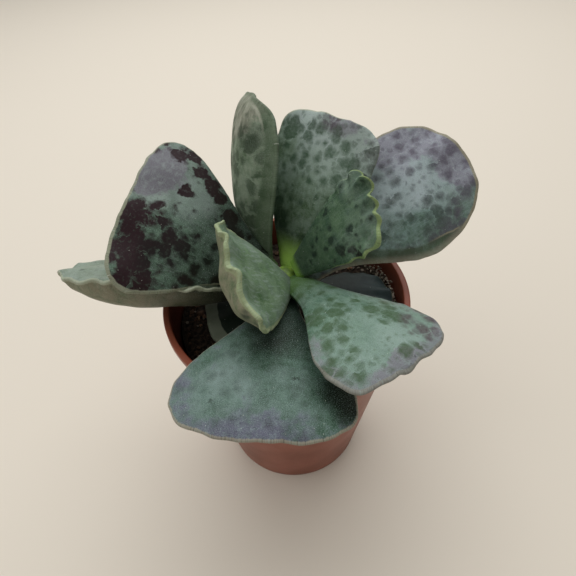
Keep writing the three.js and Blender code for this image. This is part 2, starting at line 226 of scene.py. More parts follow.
LEAF_FINISHES = {
    "leaf_inner_right": {
        "skin": "597557", "shade": "3a5840", "margin": "93a870", "neck": "8fbc4a", "streaks": 0.08,
        "pales": (-0.6, 0, 0.6, -0.3, 0.1), "fresh": (0.1, 0.7), "deep": (0.8, 0.5),
        "spots": (0.22, 0, 0.05, 0, 0.4), "hazes": (-0.3, 0, 0, 0, 0.1),
        "maroons": (0, 0.2, 0.2, -0.3, 0.1), "blooms": (-0.1, 0, 0.25, 0, 0.3),
        "patches": {"hazes": ((-4, 20, 2.5, 0.4),), "spots": ((-4, 16, 4, 0.25),)},
    },
    "leaf_inner_left": {
        "skin": "708f62", "shade": "4c6c44", "margin": "a3b088", "under": "99967e",
        "pales": (0.15, 0, 0.3, 0, 0.1), "spots": (-0.2, 0, 0, 0, 0.3), "streaks": 0.4,
        "hazes": (-0.3, 0, 0, 0, 0.1), "blooms": (0.2, 0.1, 0, 0, 0.5),
        "under_spots": (-0.1, 0.1, 0.1, 0.3, 0.5), "deep": (0.4, 0.3),
    },
    "leaf_back_centre": {
        "skin": "849c86", "shade": "526d49", "spot": "37533a", "neck": "a9d362", "spot_depth": 0.85,
        "maroon": "453b42", "spot_soft": 0.22, "haze": "706876", "fresh": (0.26, 0.95),
        "pales": (-0.2, 0, 0, 0.3, 0.1), "deep": (0.7, 0.65), "spots": (0.5, 0, 0, 0, 0.4),
        "hazes": (-0.3, 0, 0.1, 0, 0.2), "blooms": (-0.1, 0, 1, 0, 0.4),
        "maroons": (-0.1, 0.3, 0.2, -0.1, 0.2),
        "patches": {
            "spots": ((0, 14, 6, -0.4), (-9, 26, 5, 0.3), (0, 33, 3, 0.5), (8, 29, 3, 0.7)),
            "hazes": ((-3, 33, 5.5, 0.6), (-9, 29, 5, 0.3)),
            "maroons": ((0, 33, 3, 0.8),),
            "blooms": ((9, 26, 6, -0.5), (2, 32, 7, 0.4)),
        },
    },
    "leaf_front_right": {
        "skin": "72907d", "shade": "547662", "bloom": "9aafa8", "spot": "3c5733", "under": "5f7a62",
        "maroon": "4d3c42", "pales": (-0.8, 0, 0.9, -0.1, 0.1), "deep": (0.55, 0.45),
        "margin": "8a8980", "neck": "4f7034", "fresh": (0.35, 0.75), "grain": 0.6,
        "spots": (0.38, 0, 0, 0, 0.4), "hazes": (-1.1, 1.2, 0.3, 0, 0.3), "spot_depth": 0.85,
        "haze": "7f7a86", "maroons": (-0.1, 0.3, 0.1, 0.2, 0.2), "blooms": (0.1, 0, 0.4, 0.1, 0.5),
        "spot_soft": 0.22,
        "patches": {
            "spots": (
                (-6, 19, 6, 0.3), (-10, 28, 5, 0.3), (-2, 27, 5, -0.3), (5, 23, 5, 0.5),
                (8, 30, 5, 0.45), (-4, 16, 4, 0.25),
            ),
            "maroons": ((8, 29, 6, 0.7),),
            "hazes": ((-6, 35, 3, 0.4), (2, 36, 4, 0.5), (-1, 33, 3.5, 0.6)),
            "blooms": ((1, 29, 5, 0.2),),
            "darks": ((-1, 34.5, 0.6, 0.7), (0.4, 33.5, 0.4, 0.6), (1, 34.3, 0.4, 0.6)),
        },
    },
    "leaf_front": {
        "skin": "577565", "shade": "34503d", "bloom": "8da39f", "haze": "66617a", "spot": "2b3b32",
        "spot_depth": 0.5, "margin": "a09a88", "pales": (-0.1, 0, 0.1, 0, 0.2),
        "spots": (0.2, 0, 0.1, 0, 0.6), "hazes": (-0.35, 0.35, 0.25, -0.05, 0.6),
        "maroons": (0, 0.2, 0.2, 0.2, 0.2), "blooms": (0, 0, 0.3, -0.25, 0.8), "deep": (0.6, 0.8),
        "grain": 1, "spot_soft": 0.35,
        "patches": {
            "hazes": ((-1, 38, 10, 0.3),),
            # The large dark patches are painted shade: leaf_inner_left's shadow near the foot, the
            # shade at the curled-down right corner, which is also dark maroon, and a darker middle.
            # The small ones are real dark marks.
            "darks": (
                (15, 27, 7, 1), (8, 27, 4, 0.3), (5, 26, 0.8, 0.7), (0, 35.6, 0.7, 0.6),
                (2, 33, 0.6, 0.5), (-8, 31.5, 0.6, 0.6), (1, 14, 10, 0.8), (10, 20, 6, 0.3),
                (0, 22, 5, 0.25),
            ),
            "blooms": ((-5, 28, 6, 0.25),),
        },
    },
    "leaf_left": {
        "skin": "66826f", "shade": "44594b", "haze": "77707e", "pales": (-0.1, 0, 0.2, 0.25, 0.1),
        "spots": (0.38, 0, 0, 0.1, 0.4), "deep": (0.95, 0.78), "spot": "141917", "maroon": "29141a",
        "margin": "989c86", "grain": 0.6, "spot_depth": 1.15, "spot_soft": 0.24,
        "hazes": (-0.3, 0.1, 0.1, -0.1, 0.4), "maroons": (0.1, 0.5, 0.7, -0.3, 0.3),
        "blooms": (-0.1, 0, 0.2, -0.3, 0.4),
        "patches": {
            "hazes": (
                (-9, 30, 5.5, 0.8), (-5, 31.5, 4.5, 0.6), (-12, 29, 4, 0.6), (-8, 28, 8, 0.3),
                (13, 22, 9, 0.2),
            ),
            "spots": (
                (-7, 30, 6, -0.9), (4, 27, 8, 0.36), (2, 31, 5, 0.48), (9, 29, 5, 0.5),
                (14, 26, 5, 0.55), (-13.5, 28, 2.5, 1), (-15, 25, 2, 1.2), (-12.5, 23, 2, 1.1),
                (-11, 20, 2.2, 1.1), (-9, 17.5, 2.2, 1), (-6, 14, 3, 0.75), (-4, 20, 5, -0.35),
                (6, 21, 6, 0.3), (-6.5, 24.4, 1.9, 1.4),
            ),
            "blooms": ((-3, 29, 4, 0.5), (-6, 22, 6, 0.35)),
            "maroons": ((-13, 24, 7, 0.6),),
        },
    },
    "leaf_back_right": {
        "skin": "829c97", "shade": "5b7666", "bloom": "b9c7cc", "haze": "8e8b9a",
        "maroon": "5a5462", "spot": "44564c", "pales": (0.05, 0, 0.15, -0.1, 0.15),
        "spots": (0.45, 0.1, 0, -0.1, 0.5), "hazes": (-0.25, 0.15, 0.1, 0.2, 0.4),
        "maroons": (0.1, 0.6, 0.5, 0.3, 0.2), "blooms": (0.2, 0, 0.2, 0.4, 0.4),
        "deep": (0.35, 0.4), "spot_gap": 2.5, "rolled": (2.3, 0.85, -1), "spot_soft": 0.28,
        "margin": "99947f", "spot_depth": 0.85,
        "patches": {
            "blooms": ((1, 29, 8, 0.4), (-3, 33, 6, 0.2), (-9, 27, 6, -0.6)),
            "hazes": ((11, 32, 6, 0.9), (-2, 40, 6, 1), (5, 38, 5, 0.6), (6, 31, 6, 0.4)),
            "spots": ((-9, 30, 5, 0.4),),
        },
    },
    "leaf_back_left": {
        "shade": "566e50", "under": "8d9d88", "haze": "857d72", "margin": "b0b3a2",
        "spot": "2f432b", "band": "43573d", "band_rim": "64755d", "rolled": (1.7, 1.02, 1),
        "spot_soft": 0.25, "pales": (-1, 0, 0, 0, 0.1), "under_spots": (0.62, 0, 0, 0, 0.5),
        "hazes": (-0.4, 0, 0.2, 0, 0.2), "deep": (0.7, 0.75),
        "patches": {
            "hazes": ((0, 39, 12, 1.3),),
            "under_spots": ((0, 39, 8, -0.3),),
            "darks": ((7, 31, 4, 0.4),),
        },
    },
    "leaf_far_left": {
        "skin": "7b8a72", "shade": "5c6a4e", "under": "8a8670", "deep": (0.9, 0.95),
        "spots": (-0.1, 0, 0.1, 0, 0.3), "hazes": (-0.3, 0.1, 0.1, 0, 0.1),
        "under_spots": (-0.3, 0, 0.1, 0, 0.3), "pales": (-0.1, 0, 0, 0.1, 0.2),
    },
    # The two low leaves below have near-black skins as painted shade, for they lie in deep shade
    # under the others. leaf_low_left's wide pale margin is its pale rim and partly painted light
    # where its end catches the light.
    "leaf_low_right": {
        "skin": "1a2720", "shade": "111a15", "bloom": "34464a", "margin": "6c7266",
        "spots": (-0.3, 0, 0, 0, 0.2), "hazes": (-0.5, 0, 0, 0, 0), "pales": (-0.2, 0, 0, 0, 0.1),
    },
    "leaf_low_left": {
        "skin": "1d2a20", "shade": "141c15", "bloom": "2c3a30", "margin": "7f8876",
        "pales": (2.2, 0, 0, 0, 0.1), "hazes": (-0.5, 0, 0, 0, 0), "spots": (-0.3, 0, 0, 0, 0.2),
    },
    "leaf_low_back": {"skin": "33483d", "shade": "22332a", "hazes": (-0.3, 0, 0, 0, 0)},
}


def length_property(name, description, default):
    return FloatProperty(name=name, description=description, default=default, unit="LENGTH")


def count_property(name, description, default):
    return IntProperty(name=name, description=description, default=default, min=1)


def colour_property(name, description, hexadecimal):
    return FloatVectorProperty(
        name=name, description=description, default=linear(hexadecimal), subtype="COLOR",
        size=4, min=0, max=1,
    )


class PlantPot(bpy.types.PropertyGroup):
    """The pot's sizes and colour."""

    height: length_property("Height", "From its foot to the lip's top", POT_HIGH.z - POT_LOW.z)
    rim_radius: length_property(
        "Rim radius", "Outside radius of the rolled lip", (POT_HIGH.x - POT_LOW.x) / 2
    )
    base_radius: length_property("Base radius", "Outside radius where it stands", 19 * MM)
    wall: length_property("Wall", "Thickness of the plastic", 0.9 * MM)
    floor: length_property("Floor", "Thickness of the pot's floor", 1.2 * MM)
    lip_height: length_property("Lip height", "How deep the rolled lip is", 1.8 * MM)
    lip_overhang: length_property("Lip overhang", "How far the lip stands out", 0.7 * MM)
    rounding: length_property("Rounding", "Width of its rounded edges", 0.4 * MM)
    drain_radius: length_property("Drain radius", "Radius of each drain hole", 2.5 * MM)
    drain_circle: length_property("Drain circle", "Radius of the circle of drain holes", 11 * MM)
    colour: colour_property("Colour", "The plastic's colour", "904b35")


class PlantSoil(bpy.types.PropertyGroup):
    """The soil's level, lumps, crumbs and colours."""

    level: length_property("Level", "Height of the soil above the pot's foot", 49 * MM)
    relief: length_property("Relief", "How far its lumps rise and fall", 0.7 * MM)
    foot_radius: length_property("Foot radius", "Radius of the plug at the pot's floor", 18.1 * MM)
    crumbs: count_property("Crumbs", "How many crumbs of peat lie on it", 260)
    grit: count_property("Grit", "How many pale stones lie on it", 110)
    crust: count_property("Crust", "How many dry crumbs cling to the wall", 360)
    fibres: count_property("Fibres", "How many root and coir fibres lie on it", 36)
    peat: colour_property("Peat", "Colour of the peat", "4b3e33")
    stone: colour_property("Stone", "Colour of the grit", "8f8578")


class PlantStem(bpy.types.PropertyGroup):
    """The stem's size and colour."""

    radius: length_property("Radius", "Radius between its knuckles", 3 * MM)
    swell: length_property("Swell", "How far its knuckles stand out", 0.3 * MM)
    swells: count_property("Swells", "How often it swells or narrows along its length", 5)
    dome: length_property("Dome", "How high its rounded top is", 4 * MM)
    colour: colour_property("Colour", "Colour of its skin", "86a843")


class PlantStage(bpy.types.PropertyGroup):
    """The floor and the light."""

    floor: colour_property("Floor", "Colour of the floor", "e7dfd1")
    key: FloatProperty(
        name="Key light", description="Power of the soft light above", unit="POWER",
        default=3.348,
    )
    side: FloatProperty(
        name="Side light", description="Power of the light at the left", unit="POWER",
        default=0.54,
    )
    fill: FloatProperty(
        name="Surrounding light", description="Strength of the light from all round",
        default=0.34,
    )


class Field:
    """A number that varies over a surface. Sums and products of it add shader nodes."""

    def __init__(self, bench, socket):
        self.bench = bench
        self.socket = socket

    def __add__(self, other):
        return self.bench.math("ADD", self, other)

    def __sub__(self, other):
        return self.bench.math("SUBTRACT", self, other)

    def __rsub__(self, other):
        return self.bench.math("SUBTRACT", other, self)

    def __mul__(self, other):
        return self.bench.math("MULTIPLY", self, other)

    __radd__ = __add__
    __rmul__ = __mul__


class Bench:
    """One new material, to which shader nodes are added, each linked as it is made."""

    def __init__(self, name):
        self.material = bpy.data.materials.new(name)
        self.material.use_nodes = True
        self.tree = self.material.node_tree
        self.tree.nodes.clear()

    def feed(self, socket, value):
        if isinstance(value, Field):
            value = value.socket
        if isinstance(value, bpy.types.NodeSocket):
            self.tree.links.new(value, socket)
        else:
            socket.default_value = value

    def add(self, kind, inputs=None, **settings):
        node = self.tree.nodes.new(kind)
        for name, value in settings.items():
            setattr(node, name, value)
        for name, value in (inputs or {}).items():
            self.feed(node.inputs[name], value)
        return node

    def math(self, operation, first, second=0.0, clamp=False):
        inputs = {0: first, 1: second}
        node = self.add("ShaderNodeMath", inputs, operation=operation, use_clamp=clamp)
        return Field(self, node.outputs[0])

    def clamped(self, value):
        return self.math("MULTIPLY", value, 1.0, clamp=True)

    def most(self, first, *others):
        for other in others:
            first = self.math("MAXIMUM", first, other)
        return first

    def rise(self, value, low, high):
        """0 below low and 1 above high, with a soft step between; low may be the greater."""
        inputs = {"Value": value, "From Min": low, "From Max": high}
        node = self.add("ShaderNodeMapRange", inputs, interpolation_type="SMOOTHSTEP")
        return Field(self, node.outputs[0])

    def mix(self, share, first, second):
        node = self.add("ShaderNodeMix", data_type="RGBA")
        for index, value in ((0, share), (6, first), (7, second)):
            self.feed(node.inputs[index], value)
        return node.outputs[2]

    def noise(self, vector, scale, detail=2.0, roughness=0.5):
        inputs = {"Vector": vector, "Scale": scale, "Detail": detail, "Roughness": roughness}
        return Field(self, self.add("ShaderNodeTexNoise", inputs).outputs["Fac"])

    def cells(self, vector, scale):
        """The distance from the nearest of many scattered points, and that point's own tone."""
        inputs = {"Vector": vector, "Scale": scale}
        node = self.add("ShaderNodeTexVoronoi", inputs, voronoi_dimensions="2D")
        tone = self.add("ShaderNodeSeparateColor", {"Color": node.outputs["Color"]})
        return Field(self, node.outputs["Distance"]), Field(self, tone.outputs["Red"])

    def attribute(self, name):
        return Field(self, self.add("ShaderNodeAttribute", attribute_name=name).outputs["Fac"])

    def object_place(self):
        return self.add("ShaderNodeTexCoord").outputs["Object"]

    def part_of(self, vector, axis):
        return Field(self, self.add("ShaderNodeSeparateXYZ", {0: vector}).outputs[axis])

    def place(self, vector, move=(0, 0, 0), scale=(1, 1, 1)):
        inputs = {"Vector": vector, "Location": move, "Scale": scale}
        return self.add("ShaderNodeMapping", inputs).outputs[0]

    def vector(self, operation, first, second=(0, 0, 0)):
        """A sum or product of vectors or, as a number, their length or distance."""
        inputs = {0: first, 1: second}
        outputs = self.add("ShaderNodeVectorMath", inputs, operation=operation).outputs
        if operation in ("LENGTH", "DISTANCE"):
            return Field(self, outputs["Value"])
        return outputs[0]

    def warp(self, vector, scale, reach):
        """The vector pushed about by a slow noise, by up to about reach."""
        inputs = {"Vector": vector, "Scale": scale, "Detail": 2.0}
        colour = self.add("ShaderNodeTexNoise", inputs).outputs["Color"]
        centred = self.vector("SUBTRACT", colour, (0.5, 0.5, 0.5))
        inputs = {0: centred, "Scale": reach * 2}
        push = self.add("ShaderNodeVectorMath", inputs, operation="SCALE")
        return self.vector("ADD", vector, push.outputs[0])

    def bump(self, height, distance, strength):
        inputs = {"Height": height, "Distance": distance, "Strength": strength}
        return self.add("ShaderNodeBump", inputs).outputs[0]

    def coat(self, inputs):
        """Ends the nodes in a shader with these inputs, and returns the material."""
        shader = self.add("ShaderNodeBsdfPrincipled", inputs)
        self.add("ShaderNodeOutputMaterial", {"Surface": shader.outputs[0]})
        return self.material


def deselect():
    bpy.ops.object.select_all(action="DESELECT")


def pick(piece):
    """Selects one object only, and makes it the active one."""
    deselect()
    piece.select_set(True)
    bpy.context.view_layer.objects.active = piece


def widen(share):
    """Resizes what is selected across, and leaves its height alone."""
    bpy.ops.transform.resize(value=(share, share, 1))


def made(name):
    """The object that the last primitive added, under its own name."""
    piece = bpy.context.object
    piece.name = name
    piece.data.name = name
    return piece


def dress(piece, material, slot, *nodes):
    """Gives a finished piece its material and its place in the frame."""
    piece.data.materials.clear()
    piece.data.materials.append(material)
    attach(piece, BODY)
    if nodes:
        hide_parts(*nodes)


def apply_modifier(piece, kind, **settings):
    modifier = piece.modifiers.new(kind.title(), kind)
    for name, value in settings.items():
        setattr(modifier, name, value)
    bpy.context.view_layer.objects.active = piece
    bpy.ops.object.modifier_apply(modifier=modifier.name)


def cylinder(name, vertices, radius, low, high, ends="NGON"):
    """An upright cylinder on the pot's axis, from one height to another."""
    deselect()
    bpy.ops.mesh.primitive_cylinder_add(
        vertices=vertices, radius=radius, depth=high - low, end_fill_type=ends,
        location=(0, 0, (high + low) / 2),
    )
    return made(name)


def settle(piece):
    """Moves the piece's place into its mesh."""
    pick(piece)
    bpy.ops.object.transform_apply(location=True, rotation=True, scale=True)


def select_where(mesh, kind, test):
    """Selects only the faces or edges that pass the test, in edit mode."""
    bpy.ops.mesh.select_mode(type={"faces": "FACE", "edges": "EDGE"}[kind])
    bpy.ops.mesh.select_all(action="DESELECT")
    bm = bmesh.from_edit_mesh(mesh)
    for element in getattr(bm, kind):
        if test(element):
            element.select_set(True)
    bm.select_flush(True)
    bmesh.update_edit_mesh(mesh)


def close_edit():
    """Turns every face outwards, and leaves edit mode."""
    bpy.ops.mesh.select_all(action="SELECT")
    bpy.ops.mesh.normals_make_consistent(inside=False)
    bpy.ops.object.mode_set(mode="OBJECT")


def rise_of(edge):
    """How far up an edge runs."""
    return abs(edge.verts[0].co.z - edge.verts[1].co.z)


# Pot


def pot_material(pot):
    bench = Bench("terracotta plastic")
    place = bench.object_place()
    cloud = bench.noise(place, 90, 3.0)
    streak = bench.noise(bench.place(place, scale=(1, 1, 0.15)), 700)
    grain = bench.noise(place, 5200)
    dusk = tuple(share * 0.72 for share in pot.colour[:3]) + (1.0,)
    colour = bench.mix(bench.rise(cloud, 0.3, 0.75), pot.colour[:], dusk)
    colour = bench.mix(streak * 0.12, colour, linear("a07565"))

    # Painted shade darkens the wall inside, fading out at the lip
    radius = bench.vector("LENGTH", bench.vector("MULTIPLY", place, (1, 1, 0)))
    level = bench.part_of(place, "Z")
    wall_top = pot.rim_radius - pot.lip_overhang
    taper = (wall_top - pot.base_radius) / (pot.height - pot.lip_height)
    depth = level * taper + pot.base_radius - radius
    painted_inner_shade = bench.rise(depth, 0.4 * pot.wall, 0.9 * pot.wall)
    painted_inner_shade = painted_inner_shade * bench.rise(level, pot.height, pot.height - 2 * pot.lip_height)
    colour = bench.mix(painted_inner_shade * 0.6, colour, linear("26120f"))
    return bench.coat({
        "Base Color": colour,
        "Roughness": cloud * 0.2 + 0.3,
        "Specular IOR Level": 0.3,
        "Subsurface Weight": 0.08,
        "Subsurface Radius": (0.0012, 0.0006, 0.0004),
        "Normal": bench.bump(streak * 0.6 + grain * 0.4, 0.06 * MM, 0.5),
    })


def raise_ring(piece, height, radius):
    """Extrudes the selected face to a new height and radius."""
    bm = bmesh.from_edit_mesh(piece.data)
    face = next(f for f in bm.faces if f.select)
    middle = face.calc_center_median()
    old = max((v.co.xy - middle.xy).length for v in face.verts)
    low = piece.matrix_world @ middle
    bpy.ops.mesh.extrude_region_move(TRANSFORM_OT_translate={"value": (0, 0, height - low.z)})
    widen(radius / old)


def pot_shell(pot):
    """The pot raised ring by ring from its floor: up the wall, over the lip, down inside."""
    lip_low = pot.height - pot.lip_height
    wall_top = pot.rim_radius - pot.lip_overhang
    floor_radius = pot.base_radius + (wall_top - pot.base_radius) * pot.floor / lip_low
    inner_top = wall_top - pot.wall + LIP_STEP
    piece = cylinder("pot_shell", 128, pot.base_radius, 0, pot.floor)
    bpy.ops.object.mode_set(mode="EDIT")
    select_where(piece.data, "faces", lambda f: f.normal.z > 0.9)
    widen(floor_radius / pot.base_radius)
    raise_ring(piece, lip_low, wall_top)
    raise_ring(piece, lip_low, pot.rim_radius)
    raise_ring(piece, pot.height, pot.rim_radius)
    raise_ring(piece, pot.height, inner_top)
    raise_ring(piece, lip_low, inner_top)
    raise_ring(piece, pot.floor, floor_radius - pot.wall)
    close_edit()
    settle(piece)
    return piece


def drill_drains(pot, piece):
    """Cuts the four drain holes in the pot's floor."""
    for turn in range(4):
        angle = math.radians(45 + 90 * turn)
        spot = Vector((math.cos(angle), math.sin(angle), 0)) * pot.drain_circle
        deselect()
        bpy.ops.mesh.primitive_cylinder_add(
            vertices=32, radius=pot.drain_radius, depth=6 * pot.floor, location=spot
        )
        drill = made("drill")
        apply_modifier(piece, "BOOLEAN", object=drill, operation="DIFFERENCE", solver="EXACT")
        bpy.data.objects.remove(drill)


class PLANT_OT_pot(bpy.types.Operator):
    """Turn the tapered pot with its rolled lip and drill its drain holes"""

    bl_idname = "plant.pot"
    bl_label = "Pot"

    def execute(self, context):
        pot = context.scene.plant_pot
        piece = pot_shell(pot)
        drill_drains(pot, piece)
        apply_modifier(
            piece, "BEVEL", width=pot.rounding, segments=4, limit_method="ANGLE",
            angle_limit=math.radians(35),
        )
        pick(piece)
        bpy.ops.object.shade_smooth_by_angle(angle=math.radians(40))
        dress(piece, pot_material(pot), "pot_plastic", "pot")
        return {"FINISHED"}


# Soil


def soil_height(soil, x, y):
    """The soil's surface: lumps, smaller crumbs and a fine roughness."""
    place = Vector((x, y, 0)) / MM
    lumps = noise.noise(place * 0.16)
    crumbs = noise.noise(place * 0.55 + Vector((7, 3, 1)))
    fine = noise.noise(place * 1.9 + Vector((2, 9, 4)))
    return soil.level + soil.relief * (0.9 * lumps + 0.7 * crumbs + 0.35 * fine)


def peat_material(soil):
    bench = Bench("dark peat")
    place = bench.object_place()
    clod = bench.noise(place, 900, 6.0, 0.65)
    fine = bench.noise(place, 4200, 4.0, 0.7)
    colour = bench.mix(bench.rise(clod, 0.35, 0.7), linear("120e0b"), soil.peat[:])
    colour = bench.mix(bench.rise(fine, 0.66, 0.74), colour, linear("5d4a3a"))
    return bench.coat({
        "Base Color": colour,
        "Roughness": 0.95,
        "Specular IOR Level": 0.2,
        "Normal": bench.bump(clod + fine * 0.5, 0.6 * MM, 0.9),
    })


def tone_material(name, dark, light, roughness):
    """A stony or fibrous finish whose tone differs from piece to piece by an attribute."""
    bench = Bench(name)
    mottle = bench.noise(bench.object_place(), 2600, 3.0, 0.6)
    share = bench.attribute("tone") + (mottle - 0.5) * 0.7
    return bench.coat({
        "Base Color": bench.mix(bench.clamped(share), dark, light),
        "Roughness": roughness,
        "Specular IOR Level": 0.3,
        "Normal": bench.bump(mottle, 0.2 * MM, 0.6),
    })


def mark_tone(piece, tone):
    """Gives every point of a piece one tone, kept when pieces are joined."""
    layer = piece.data.attributes.new("tone", "FLOAT", "POINT")
    layer.data.foreach_set("value", [tone] * len(piece.data.vertices))


def join_pieces(pieces, name):
    deselect()
    for piece in pieces:
        piece.select_set(True)
    bpy.context.view_layer.objects.active = pieces[0]
    bpy.ops.object.join()
    piece = made(name)
    settle(piece)
    return piece


def lump(centre, size, chance):
    """One irregular crumb: a small sphere pushed about by noise, squashed and turned."""
    deselect()
    bpy.ops.mesh.primitive_ico_sphere_add(subdivisions=2, radius=1, location=(0, 0, 0))
    piece = made("lump")
    seed = Vector((chance.random(), chance.random(), chance.random())) * 90
    for vertex in piece.data.vertices:
        push = noise.noise(vertex.co * 1.3 + seed) * 0.5 + noise.noise(vertex.co * 3 + seed) * 0.2
        vertex.co *= 1 + push
    stretch = Matrix.Diagonal((1, chance.uniform(0.6, 0.95), chance.uniform(0.5, 0.85), 1))
    turn = Matrix.Rotation(chance.uniform(0, 6.28), 4, "Z")
    lean = Matrix.Rotation(chance.uniform(-0.6, 0.6), 4, "X")
    shape = turn @ lean @ Matrix.Scale(size, 4) @ stretch
    piece.data.transform(Matrix.Translation(centre) @ shape)
    mark_tone(piece, chance.random())
    return piece


def soil_plug(soil):
    """The plug that fills the pot, its top ringed finely and then lumped."""
    low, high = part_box("soil")
    top_radius = (high.x - low.x) / 2
    plug = cylinder("soil_plug", 96, soil.foot_radius, low.z, soil.level)
    bpy.ops.object.mode_set(mode="EDIT")
    select_where(plug.data, "faces", lambda f: f.normal.z > 0.9)
    widen(top_radius / soil.foot_radius)
    for _ in range(SOIL_RINGS - 1):
        bpy.ops.mesh.inset(thickness=top_radius / SOIL_RINGS, depth=0)
    bpy.ops.mesh.poke()
    bpy.ops.object.mode_set(mode="OBJECT")
    settle(plug)
    for vertex in plug.data.vertices:
        reach = vertex.co.xy.length
        if vertex.co.z > soil.level - MM and reach < top_radius - 0.1 * MM:
            vertex.co.z = soil_height(soil, vertex.co.x, vertex.co.y)
    bpy.ops.object.shade_smooth_by_angle(angle=math.radians(50))
    return plug


def scatter(soil, chance, count, sizes, near_wall):
    """Lumps spread over the soil, more of them near the wall where near_wall is over 1."""
    lumps = []
    for _ in range(count):
        reach = chance.random() ** (0.5 / near_wall)
        reach = CRUMBS_FROM + (CRUMBS_TO - CRUMBS_FROM) * reach
        angle = chance.uniform(0, 2 * math.pi)
        x, y = reach * math.cos(angle), reach * math.sin(angle)
        size = chance.uniform(*sizes) * MM
        centre = Vector((x, y, soil_height(soil, x, y) + 0.2 * size))
        lumps.append(lump(centre, size, chance))
    return lumps


def dry_crust(soil, chance):
    """Small lumps that cling to the wall at the right, fewer the higher they are."""
    lumps = []
    for _ in range(soil.crust):
        angle = math.radians(chance.gauss(CRUST_HEADING, CRUST_SPREAD))
        rise = chance.uniform(0, 1) * chance.uniform(0, CRUST_CLIMB) * MM
        reach = (CRUST_REACH + chance.uniform(0, 0.8)) * MM + rise * WALL_LEAN
        centre = Vector((reach * math.cos(angle), reach * math.sin(angle), soil.level + rise))
        lumps.append(lump(centre, chance.uniform(0.12, 0.4) * MM, chance))
    return lumps


def fibre(soil, chance):
    """One fibre that wanders over the soil in short steps, and turns back at the wall."""
    angle = chance.uniform(0, 2 * math.pi)
    reach = chance.uniform(8, 22) * MM
    x, y = reach * math.cos(angle), reach * math.sin(angle)
    heading = chance.uniform(0, 2 * math.pi)
    curve = bpy.data.curves.new("fibre", "CURVE")
    curve.dimensions = "3D"
    curve.bevel_depth = chance.uniform(0.04, 0.09) * MM
    curve.bevel_resolution = 1
    spline = curve.splines.new("POLY")
    spline.points.add(FIBRE_STEPS)
    for point in spline.points:
        lift = soil_height(soil, x, y) + chance.uniform(0.1, 0.5) * MM
        point.co = (x, y, lift, 1)
        heading += chance.uniform(-0.5, 0.5)
        if math.hypot(x, y) > FIBRE_TURN:
            heading = math.atan2(-y, -x)
        x += FIBRE_STEP * math.cos(heading)
        y += FIBRE_STEP * math.sin(heading)
    piece = bpy.data.objects.new("fibre", curve)
    bpy.context.scene.collection.objects.link(piece)
    pick(piece)
    bpy.ops.object.convert(target="MESH")
    piece = bpy.context.object
    mark_tone(piece, chance.random())
    return piece


class PLANT_OT_soil(bpy.types.Operator):
    """Fill the pot with peat, and lay crumbs, grit, a dry crust and fibres on it"""

    bl_idname = "plant.soil"
    bl_label = "Soil"

    def execute(self, context):
        soil = context.scene.plant_soil
        dress(soil_plug(soil), peat_material(soil), "soil", "soil")
        chance = random.Random(5)
        crumbs = join_pieces(scatter(soil, chance, soil.crumbs, (0.25, 0.85), 1), "soil_crumbs")
        peat = tone_material("peat crumb", linear("241a14"), linear("8a6c54"), 0.95)
        dress(crumbs, peat, "soil")
        grit = join_pieces(scatter(soil, chance, soil.grit, (0.2, 0.5), 3), "soil_grit")
        dark = tuple(share * 0.5 for share in soil.stone[:3]) + (1.0,)
        dress(grit, tone_material("pale grit", dark, soil.stone[:], 0.8), "soil")
        crust = join_pieces(dry_crust(soil, chance), "soil_crust")
        pale = tone_material("dry crust", linear("4a4035"), linear("b0a698"), 0.95)
        dress(crust, pale, "soil")
        fibres = join_pieces([fibre(soil, chance) for _ in range(soil.fibres)], "soil_fibres")
        coir = tone_material("coir fibre", linear("2e2118"), linear("7a624c"), 0.8)
        dress(fibres, coir, "soil")
        return {"FINISHED"}


# Stem


def stem_material(stem):
    bench = Bench("stem skin")
    place = bench.object_place()
    mottle = bench.noise(place, 600, 3.0)
    fine = bench.noise(place, 3000, 3.0)
    colour = bench.mix(bench.rise(mottle, 0.35, 0.65), linear("5f7a35"), stem.colour[:])
    return bench.coat({
        "Base Color": colour,
        "Roughness": 0.5,
        "Subsurface Weight": 0.2,
        "Subsurface Radius": (0.0008, 0.0012, 0.0004),
        "Normal": bench.bump(fine, 0.1 * MM, 0.5),
    })


class PLANT_OT_stem(bpy.types.Operator):
    """Grow the short stem with its leaf scars"""

    bl_idname = "plant.stem"
    bl_label = "Stem"

    def execute(self, context):
        stem = context.scene.plant_stem
        length = STEM_HIGH.z - STEM_LOW.z
        piece = cylinder("stem_skin", 40, stem.radius, STEM_LOW.z, STEM_HIGH.z, ends="TRIFAN")
        bpy.ops.object.mode_set(mode="EDIT")
        select_where(piece.data, "edges", lambda e: rise_of(e) > length / 2)
        bpy.ops.mesh.subdivide(number_cuts=60)
        bpy.ops.object.mode_set(mode="OBJECT")
        settle(piece)
        for vertex in piece.data.vertices:
            share = (vertex.co.z - STEM_LOW.z) / length
            swell = 1 + stem.swell / stem.radius * math.sin(math.pi * stem.swells * share)
            into = max(0.0, (vertex.co.z - (STEM_HIGH.z - stem.dome)) / stem.dome)
            narrow = math.sqrt(max(1 - into**2, 0.0))
            vertex.co.x *= swell * narrow
            vertex.co.y *= swell * narrow
        bpy.ops.object.mode_set(mode="EDIT")
        bpy.ops.mesh.select_all(action="SELECT")
        bpy.ops.mesh.remove_doubles(threshold=0.01 * MM)
        close_edit()
        bpy.ops.object.shade_smooth()
        dress(piece, stem_material(stem), "stem_skin", "stem")
        return {"FINISHED"}


# Leaves


def leaf_axes(leaf):
    """A leaf's own axes: along it, to its left, and up out of its upper face."""
    heading, rise, roll = (math.radians(leaf[key]) for key in ("heading", "rise", "roll"))
    flat = Vector((math.cos(heading), math.sin(heading), 0))
    along = flat * math.cos(rise) + Vector((0, 0, math.sin(rise)))
    flat_up = flat * -math.sin(rise) + Vector((0, 0, math.cos(rise)))
    flat_left = flat_up.cross(along)
    left = flat_left * math.cos(roll) + flat_up * math.sin(roll)
    up = flat_up * math.cos(roll) - flat_left * math.sin(roll)
    return np.array(along), np.array(left), np.array(up)


